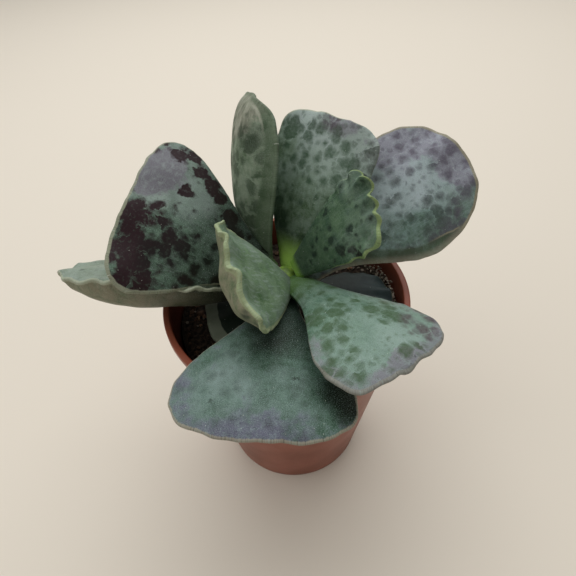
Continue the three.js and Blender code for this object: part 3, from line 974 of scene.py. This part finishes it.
def leaf_surface(leaf, u, v):
    """The middle surface in millimetres, at u from neck to end and v from the right margin
    to the left one, with its normals, the share of the leaf's length and the way across."""
    along, left, up = leaf_axes(leaf)
    round_end = 1 - (1 - np.abs(v) ** leaf["square"]) ** (1 / leaf["square"])
    share = u * (1 - leaf["blunt"] * round_end + leaf["slant"] * v)
    spread = np.minimum(share / (1 - leaf["blunt"]), 1)
    curved = np.sin(math.pi / 2 * spread) ** leaf["flare"]
    opening = leaf["wedge"] * spread + (1 - leaf["wedge"]) * curved
    half_width, half_neck = leaf["width"] / 2, leaf["neck"] / 2
    across = v * (half_neck + (half_width - half_neck) * opening)

    droop = math.radians(leaf["droop"])
    bend = droop * share
    forward = np.sin(bend) / droop if droop else share
    sunk = (1 - np.cos(bend)) / droop if droop else np.zeros_like(share)
    normal = np.cos(bend)[:, None] * up + np.sin(bend)[:, None] * along

    cup = np.where(v > 0, leaf["cup_left"], leaf["cup_right"]) * (across / half_width) ** 2
    hook = leaf["hook"] * np.maximum((share - HOOK_START) / (1 - HOOK_START), 0) ** 2
    wave = leaf["fold"] * np.sin(math.pi * leaf["folds"] * v) * u**END_POWER

    seat = math.radians(leaf.get("seat", leaf["heading"]))
    root = leaf["root"]
    base = np.array((root * math.cos(seat), root * math.sin(seat), leaf["height"]))
    points = base + leaf["length"] * (forward[:, None] * along - sunk[:, None] * up)
    sideways = across + leaf["sway"] * share**2
    points = points + sideways[:, None] * left + (cup + hook + wave)[:, None] * normal
    return points, normal, share, across


def leaf_belly(leaf, share, u, v):
    """How much a leaf swells beyond its margin's thickness."""
    neck = leaf["slim"] + (1 - leaf["slim"]) * np.minimum(share / leaf["waist"], 1)
    roundness = ROUND_AT_NECK + (ROUND_AT_END - ROUND_AT_NECK) * share
    across = np.maximum(1 - v**2, 0) ** roundness
    along = np.maximum(1 - u**END_POWER, 0) ** END_ROUND
    return (leaf["belly"] - leaf["edge"]) * neck * across * along


def margin_line(leaf):
    """Points along the margin, out on the right side, across the end and back, with how far
    each lies along it."""
    side = np.linspace(0, 1, SIDE_POINTS)
    end = np.sin(np.linspace(-math.pi / 2, math.pi / 2, END_POINTS))
    u = np.concatenate([side, np.ones(END_POINTS), side[::-1]])
    v = np.concatenate([-np.ones(SIDE_POINTS), end, np.ones(SIDE_POINTS)])
    points = leaf_surface(leaf, u, v)[0]
    steps = np.linalg.norm(np.diff(points, axis=0), axis=1)
    return points, np.concatenate([[0], np.cumsum(steps)]), u


def outward_of(leaf, u, v):
    """For points on the margin, the way straight out of the leaf in its own surface."""
    end = u > ON_MARGIN
    low_u = np.where(end, u, np.maximum(u - NUDGE, 0))
    high_u = np.where(end, u, np.minimum(u + NUDGE, 1))
    low_v = np.where(end, np.maximum(v - NUDGE, -1), v)
    high_v = np.where(end, np.minimum(v + NUDGE, 1), v)
    run = leaf_surface(leaf, high_u, high_v)[0] - leaf_surface(leaf, low_u, low_v)[0]
    points, normal = leaf_surface(leaf, u, v)[:2]
    inner = leaf_surface(leaf, u * 0.97, v * 0.97)[0]
    outward = np.cross(run, normal)
    outward *= np.sign(np.sum(outward * (points - inner), axis=1))[:, None]
    return outward / np.maximum(np.linalg.norm(outward, axis=1), 1e-9)[:, None]


def noise_along(values, scale, seed):
    """Smooth noise of one number, about -1 to 1, for each of the values."""
    return np.array([noise.noise(Vector((value * scale, seed, 0.5))) for value in values])


def shape_leaf(leaf, grid, seed):
    """Places the grid's points, given as x and y from -1 to 1 and z from 0 to 1, on the leaf.
    Returns the places in metres and what the finish reads: the way across and along in
    millimetres, the share of the length, the distance from the margin and the upper side."""
    u = (grid[:, 0] + 1) / 2
    v = np.sin(math.pi / 2 * grid[:, 1])
    lift = grid[:, 2]
    points, normal, share, across = leaf_surface(leaf, u, v)
    line, run, line_u = margin_line(leaf)
    gaps = np.linalg.norm(points[:, None] - line[None], axis=2)
    nearest = gaps.argmin(axis=1)
    inside = gaps[np.arange(len(points)), nearest]

    # The margin is crimped, more towards the end, and a little uneven in outline
    reach = run[nearest]
    phase = 2 * math.pi * reach / leaf["crimp_length"] + 2.5 * noise_along(reach, 0.12, seed)
    strength = leaf["crimp"] * np.clip(line_u[nearest] * 3 - 2, 0, 1)
    strength = strength * (1 + 0.8 * noise_along(reach, 0.2, seed + 3))
    strength = strength * np.exp(-inside / leaf["crimp_depth"])
    lumps = np.array([noise.noise(Vector(p * 0.16) + Vector((seed, 0, 0))) for p in points])
    lift_by = strength * np.sin(phase) + 0.35 * lumps * np.minimum(inside / 3, 1)
    rim = (u > ON_MARGIN) | (np.abs(v) > ON_MARGIN)
    outward = (line[nearest] - points) / np.maximum(inside, 1e-6)[:, None]
    outward[rim] = outward_of(leaf, u[rim], v[rim])
    sway_by = 0.6 * strength * np.cos(phase)
    points = points + lift_by[:, None] * normal + sway_by[:, None] * outward

    half_edge = leaf["edge"] / 2
    belly = leaf_belly(leaf, share, u, v)
    above = half_edge + UPPER_SHARE * belly
    below = half_edge + (1 - UPPER_SHARE) * belly
    thickness = np.where(lift > 0.5, above, -below)
    places = points + thickness[:, None] * normal

    angle = math.pi * (lift[rim] - 0.5)
    bead = half_edge * (1 + 0.12 * noise_along(reach[rim], 0.9, seed + 6))
    notch = 0.16 * noise_along(reach[rim], 0.35, seed + 9) * line_u[nearest[rim]]
    push = bead * np.cos(angle) + notch
    places[rim] = points[rim] + push[:, None] * outward[rim]
    places[rim] += (bead * np.sin(angle))[:, None] * normal[rim]
    inside[rim] = -half_edge * np.cos(angle)
    length = leaf["length"] * share
    return places * MM, across, length, share, inside, lift


def leaf_mesh(name, leaf, seed):
    """A leaf from a flat grid: thickened, its wall ringed for a round margin, then shaped."""
    deselect()
    bpy.ops.mesh.primitive_grid_add(
        x_subdivisions=GRID_ALONG, y_subdivisions=GRID_ACROSS, size=2, location=(0, 0, 0)
    )
    piece = made(name)
    bpy.ops.object.mode_set(mode="EDIT")
    bpy.ops.mesh.select_all(action="SELECT")
    bpy.ops.mesh.extrude_region_move(TRANSFORM_OT_translate={"value": (0, 0, 1)})
    select_where(piece.data, "edges", lambda e: rise_of(e) > 0.5)
    bpy.ops.mesh.subdivide(number_cuts=MARGIN_RINGS)
    close_edit()

    mesh = piece.data
    grid = np.empty(len(mesh.vertices) * 3)
    mesh.vertices.foreach_get("co", grid)
    grid = grid.reshape(-1, 3)
    places, across, length, share, inside, lift = shape_leaf(leaf, grid, seed)
    mesh.vertices.foreach_set("co", places.ravel())
    for key, values in (("leaf_share", share), ("leaf_inside", inside), ("leaf_upper", lift)):
        mesh.attributes.new(key, "FLOAT", "POINT").data.foreach_set("value", values)
    corners = np.empty(len(mesh.loops), dtype=np.int32)
    mesh.loops.foreach_get("vertex_index", corners)
    layer = mesh.uv_layers.new(name="leaf_mm")
    pairs = np.stack([across[corners], length[corners]], axis=1)
    layer.data.foreach_set("uv", pairs.ravel())
    mesh.update()
    apply_modifier(piece, "SUBSURF", levels=1, render_levels=1, uv_smooth="NONE")
    bpy.ops.object.shade_smooth()
    return piece


class LeafBench(Bench):
    """A leaf's skin in the making, with its finish and the places that its mesh holds."""

    def __init__(self, name, leaf, seed):
        super().__init__(name.replace("_", " ") + " skin")
        finish = {**PLAIN_FINISH, **LEAF_FINISHES[name]}
        colours = {key: linear(value) for key, value in finish.items() if isinstance(value, str)}
        self.look = SimpleNamespace(**{**finish, **colours})
        own = self.add("ShaderNodeUVMap", uv_map="leaf_mm").outputs[0]
        self.flat = self.place(own, move=(seed * 37.0, seed * 19.0, 0))
        self.share = self.attribute("leaf_share")
        self.inside = self.attribute("leaf_inside")
        self.to_left = self.math("DIVIDE", self.part_of(own, "X"), leaf["width"] / 2)
        at_margin = self.rise(self.inside, 6.5, 0.3)
        at_end = self.rise(self.share, 0.35, 0.95)
        uneven = (self.noise(self.flat, 0.16, 3.0, 0.6) - 0.5) * 2.0
        self.places = (at_margin, at_end, self.to_left, uneven)
        self.patch_place = self.warp(self.warp(own, 0.25, 1.2), 1.2, 0.8)
        self.ragged = self.warp(self.warp(self.flat, 0.35, 0.9), 1.3, 0.5)
        self.drift = self.noise(self.flat, 0.3, 5.0, 0.65)
        self.mottle = self.noise(self.ragged, 0.9, 3.0, 0.6)
        self.patchy = self.drift * 0.6 + self.mottle * 0.4
        drawn_out = self.place(self.warp(self.flat, 0.4, 0.8), scale=(2.4, 0.3, 1))
        self.streaks = self.noise(drawn_out, 1.0, 4.0)

    def amount(self, kind):
        """How much of one finish there is: its base, what each place adds, and its patches."""
        total, *gains = getattr(self.look, kind)
        for gain, place in zip(gains, self.places):
            if gain:
                total = place * gain + total
        for across, along, radius, gain in self.look.patches.get(kind, ()):
            away = self.vector("DISTANCE", self.patch_place, (across, along, 0))
            total = self.rise(away, radius, radius * 0.4) * gain + total
        return total

    def spots(self, vector, gap, growth, soft):
        """Round spots about gap apart, which grow and merge as growth goes from 0 to 1."""
        away, tone = self.cells(vector, 1 / gap)
        size = growth * 0.72 + (tone * 0.5 - 0.34)
        return self.rise(size - away, -soft, soft)

    def upper_spots(self):
        """Large and small spots, merged where they grow most, and clouded a little."""
        growth = self.amount("spots")
        large = self.spots(self.ragged, self.look.spot_gap, growth, self.look.spot_soft)
        aside = self.place(self.ragged, move=(11, 5, 0))
        small = self.spots(aside, 1.5, growth * 0.9 - 0.1, 0.22)
        merged = self.rise(growth + (self.mottle - 0.5) * 1.6, 0.85, 1.2)
        depth = self.most(large, small * 0.6, merged) * self.look.spot_depth
        return self.clamped(depth * (self.noise(self.flat, 1.4, 3.0, 0.6) * 0.9 + 0.45))

    def upper_skin(self, haze, spots):
        """Green to glaucous, streaked along the leaf and hazed with purple, then spotted."""
        bloom = self.look.bloom
        skin = self.rise(self.patchy, 0.36, 0.62)
        skin = self.mix(skin, self.look.shade, self.look.skin)
        skin = self.mix(self.clamped(self.amount("blooms")), skin, bloom)
        skin = self.mix(self.rise(self.streaks, 0.5, 0.65) * self.look.streaks, skin, bloom)
        skin = self.mix(haze, skin, self.look.haze)
        skin = self.mix(self.rise(self.mottle, 0.45, 0.75) * (haze * 0.5), skin, bloom)
        maroon = self.rise(self.amount("maroons"), 0.1, 0.8)
        tone = self.mix(maroon, self.look.spot, self.look.maroon)
        return self.mix(spots, skin, tone)

    def under_skin(self, haze):
        """Duller and paler, finely streaked along the leaf, most where it is hazed."""
        under = self.rise(self.patchy, 0.3, 0.6)
        under = self.mix(under, self.look.shade, self.look.under)
        under = self.mix(haze * 0.7, under, self.look.haze)
        fibres = self.rise(self.streaks, 0.45, 0.6) * (haze + 0.3)
        under = self.mix(fibres * 0.5, under, self.look.margin)
        stretched = self.place(self.ragged, scale=(1.0, 0.7, 1.0))
        spots = self.spots(stretched, 2.2, self.amount("under_spots"), 0.24)
        return self.mix(spots * 0.7, under, self.look.spot)

    def foot(self, skin):
        """Adds the dark foot, painted shade at the crown with a darker green there, the dark marks
        and painted shadows, and the fresh yellow-green neck.
        """
        reach, strength = self.look.deep
        depth = self.rise(self.share, reach, reach * 0.15) * strength
        depth = self.most(depth, self.clamped(self.amount("darks")))
        # A near-black green: painted shade at the foot, painted shadows and the real dark marks
        skin = self.mix(depth, skin, linear("101a0b"))
        reach, strength = self.look.fresh
        fresh = self.rise(self.share, reach, reach * 0.2) * strength
        return self.mix(fresh, skin, self.look.neck)

    def margin(self, skin):
        """Adds the pale margin and, on a rolled side, the band and a pale line along it."""
        ragged = (self.noise(self.flat, 0.8, 3.0) - 0.5) * 0.5
        past = self.amount("pales") - (self.inside + ragged)
        pale = self.rise(past, -0.1, 0.15) * self.rise(self.share, 0.1, 0.35)
        if self.look.rolled:
            wide, end, side = self.look.rolled
            reach = self.rise(self.share, 0.1, 0.4) * self.rise(self.share, end, end - 0.2)
            reach = reach * self.rise(self.to_left, 0.2 * side, 0.4 * side) * wide
            beyond = reach + ragged - self.inside
            band = self.rise(self.inside, 1.3, -0.3)
            band = self.mix(band, self.look.band, self.look.band_rim)
            skin = self.mix(self.rise(beyond, -0.5, 0.4) * 0.7, skin, band)
            line = self.rise(self.math("ABSOLUTE", beyond), 0.3, 0.05)
            line = line * self.rise(self.share, end - 0.25, end - 0.1)
            line = line * self.rise(reach, 0.3, 0.8)
            pale = self.most(line, pale * self.rise(reach, 0.8, 0.3))
        return self.mix(pale * 0.85, skin, self.look.margin)

    def dusted(self, skin, grain, spots):
        """Adds a fine grain, light between the spots and dark all over, and pale dust."""
        strength = self.look.grain
        light = self.rise(grain, 0.5, 0.75) * strength * (1.0 - spots)
        skin = self.mix(light, skin, self.look.bloom)
        dark = self.rise(grain, 0.5, 0.25) * (0.35 + 0.4 * strength)
        skin = self.mix(dark, skin, (0.0, 0.0, 0.0, 1.0))
        speck, tone = self.cells(self.place(self.flat, move=(3, 8, 0)), 0.7)
        dust = self.rise(speck, 0.055, 0.02) * self.rise(tone, 0.93, 0.94)
        return self.mix(dust * 0.65, skin, linear("dfe6da"))


def leaf_material(name, leaf, seed):
    """Waxy leaf skin: bloom, spots that merge, a purple haze and a pale margin."""
    bench = LeafBench(name, leaf, seed)
    haze = bench.amount("hazes") + (bench.patchy - 0.5) * 1.6
    haze = bench.rise(haze, 0.05, 0.5) * 0.8
    spots = bench.upper_spots()
    on_top = bench.rise(bench.attribute("leaf_upper"), 0.35, 0.65)
    skin = bench.mix(on_top, bench.under_skin(haze), bench.upper_skin(haze, spots))
    skin = bench.margin(bench.foot(skin))
    grain = bench.noise(bench.flat, 5.5, 3.0, 0.75)
    return bench.coat({
        "Base Color": bench.dusted(skin, grain, spots),
        "Roughness": 0.5,
        "Specular IOR Level": 0.2,
        "Subsurface Weight": 0.1,
        "Subsurface Radius": (0.0006, 0.001, 0.0005),
        "Normal": bench.bump(grain * 0.5 + bench.drift * 1.5 - spots * 0.4, 0.12 * MM, 0.6),
    })


def grow_leaves(names):
    """Makes the named leaves, each with its own finish."""
    order = list(LEAF_SHAPES)
    for name in names:
        leaf = {**PLAIN_LEAF, **LEAF_SHAPES[name]}
        seed = order.index(name) + 1
        piece = leaf_mesh(name + "_skin", leaf, seed)
        dress(piece, leaf_material(name, leaf, seed), "leaf_skin", name)


class PLANT_OT_young_leaves(bpy.types.Operator):
    """Grow the two crimped young leaves at the centre"""

    bl_idname = "plant.young_leaves"
    bl_label = "Young leaves"

    def execute(self, context):
        grow_leaves(("leaf_inner_right", "leaf_inner_left"))
        return {"FINISHED"}


class PLANT_OT_raised_leaves(bpy.types.Operator):
    """Grow the leaves that stand up round the centre"""

    bl_idname = "plant.raised_leaves"
    bl_label = "Raised leaves"

    def execute(self, context):
        grow_leaves(("leaf_left", "leaf_back_left", "leaf_back_centre", "leaf_back_right"))
        return {"FINISHED"}


class PLANT_OT_spreading_leaves(bpy.types.Operator):
    """Grow the leaves that reach out over the rim"""

    bl_idname = "plant.spreading_leaves"
    bl_label = "Spreading leaves"

    def execute(self, context):
        grow_leaves(("leaf_front", "leaf_front_right", "leaf_far_left"))
        return {"FINISHED"}


class PLANT_OT_low_leaves(bpy.types.Operator):
    """Grow the small leaves in the pot's shade"""

    bl_idname = "plant.low_leaves"
    bl_label = "Low leaves"

    def execute(self, context):
        grow_leaves(("leaf_low_right", "leaf_low_left", "leaf_low_back"))
        return {"FINISHED"}


# Stage


def lay_floor(stage):
    """The floor, which belongs to the stage and not to the plant."""
    bpy.ops.mesh.primitive_plane_add(size=6, location=(0, 0, 0))
    floor = made("floor")
    finish = Bench("pale floor").coat({"Base Color": stage.floor[:], "Roughness": 0.7})
    floor.data.materials.append(finish)


def light_all_round(stage):
    """Soft, slightly warm light from every side."""
    world = bpy.data.worlds.new("soft light")
    world.use_nodes = True
    background = world.node_tree.nodes["Background"]
    background.inputs["Color"].default_value = (1.0, 0.97, 0.92, 1.0)
    background.inputs["Strength"].default_value = stage.fill
    bpy.context.scene.world = world


def hang_light(name, place, size, power):
    """A square light, size metres wide, that faces the plant."""
    lamp = bpy.data.lights.new(name, "AREA")
    lamp.size = size
    lamp.energy = power
    holder = bpy.data.objects.new(name, lamp)
    holder.location = place
    aim = LIGHT_AIM - Vector(place)
    holder.rotation_euler = aim.to_track_quat("-Z", "Y").to_euler()
    bpy.context.scene.collection.objects.link(holder)


def place_camera():
    """The camera, in front and above, that sees the plant as it was photographed."""
    lens = bpy.data.cameras.new("camera")
    lens.lens = CAMERA_LENS
    lens.sensor_width = CAMERA_SENSOR
    lens.clip_start = 5 * MM
    camera = bpy.data.objects.new("camera", lens)
    back = Vector((0, -math.cos(CAMERA_ELEVATION), math.sin(CAMERA_ELEVATION)))
    camera.location = CAMERA_TARGET + back * CAMERA_DISTANCE
    turn = Matrix.Rotation(math.pi / 2 - CAMERA_ELEVATION, 4, "X")
    camera.rotation_euler = (turn @ Matrix.Rotation(CAMERA_ROLL, 4, "Z")).to_euler()
    bpy.context.scene.collection.objects.link(camera)
    bpy.context.scene.camera = camera


class PLANT_OT_stage(bpy.types.Operator):
    """Lay the pale floor, hang the soft light and set up the camera"""

    bl_idname = "plant.stage"
    bl_label = "Stage"

    def execute(self, context):
        stage = context.scene.plant_stage
        deselect()
        lay_floor(stage)
        light_all_round(stage)
        hang_light("key light", (0.02, 0.32, 0.58), 0.8, stage.key)
        hang_light("side light", (-0.3, -0.1, 0.5), 0.4, stage.side)
        place_camera()
        context.scene.view_settings.view_transform = "Standard"
        return {"FINISHED"}


class PLANT_PT_panel(bpy.types.Panel):
    """Lists the plant's pieces in the sidebar"""

    bl_idname = "PLANT_PT_panel"
    bl_label = "Plover Eggs Plant"
    bl_space_type = "VIEW_3D"
    bl_region_type = "UI"
    bl_category = "Plant"

    def draw(self, context):
        for group in GROUPS:
            settings = getattr(context.scene, group)
            column = self.layout.column(align=True)
            for name in settings.__annotations__:
                column.prop(settings, name)
        for operator in OPERATORS:
            self.layout.operator(operator.bl_idname)


GROUPS = {
    "plant_pot": PlantPot,
    "plant_soil": PlantSoil,
    "plant_stem": PlantStem,
    "plant_stage": PlantStage,
}
OPERATORS = (
    PLANT_OT_stage,
    PLANT_OT_pot,
    PLANT_OT_soil,
    PLANT_OT_stem,
    PLANT_OT_young_leaves,
    PLANT_OT_raised_leaves,
    PLANT_OT_spreading_leaves,
    PLANT_OT_low_leaves,
)


def register():
    for name, group in GROUPS.items():
        bpy.utils.register_class(group)
        setattr(bpy.types.Scene, name, PointerProperty(type=group))
    for operator in OPERATORS:
        bpy.utils.register_class(operator)
    bpy.utils.register_class(PLANT_PT_panel)


def unregister():
    bpy.utils.unregister_class(PLANT_PT_panel)
    for operator in reversed(OPERATORS):
        bpy.utils.unregister_class(operator)
    for name, group in GROUPS.items():
        delattr(bpy.types.Scene, name)
        bpy.utils.unregister_class(group)


def main():
    register()
    bpy.ops.plant.stage()
    bpy.ops.plant.pot()
    bpy.ops.plant.soil()
    bpy.ops.plant.stem()
    bpy.ops.plant.young_leaves()
    bpy.ops.plant.raised_leaves()
    bpy.ops.plant.spreading_leaves()
    bpy.ops.plant.low_leaves()


if __name__ == "__main__":
    main()
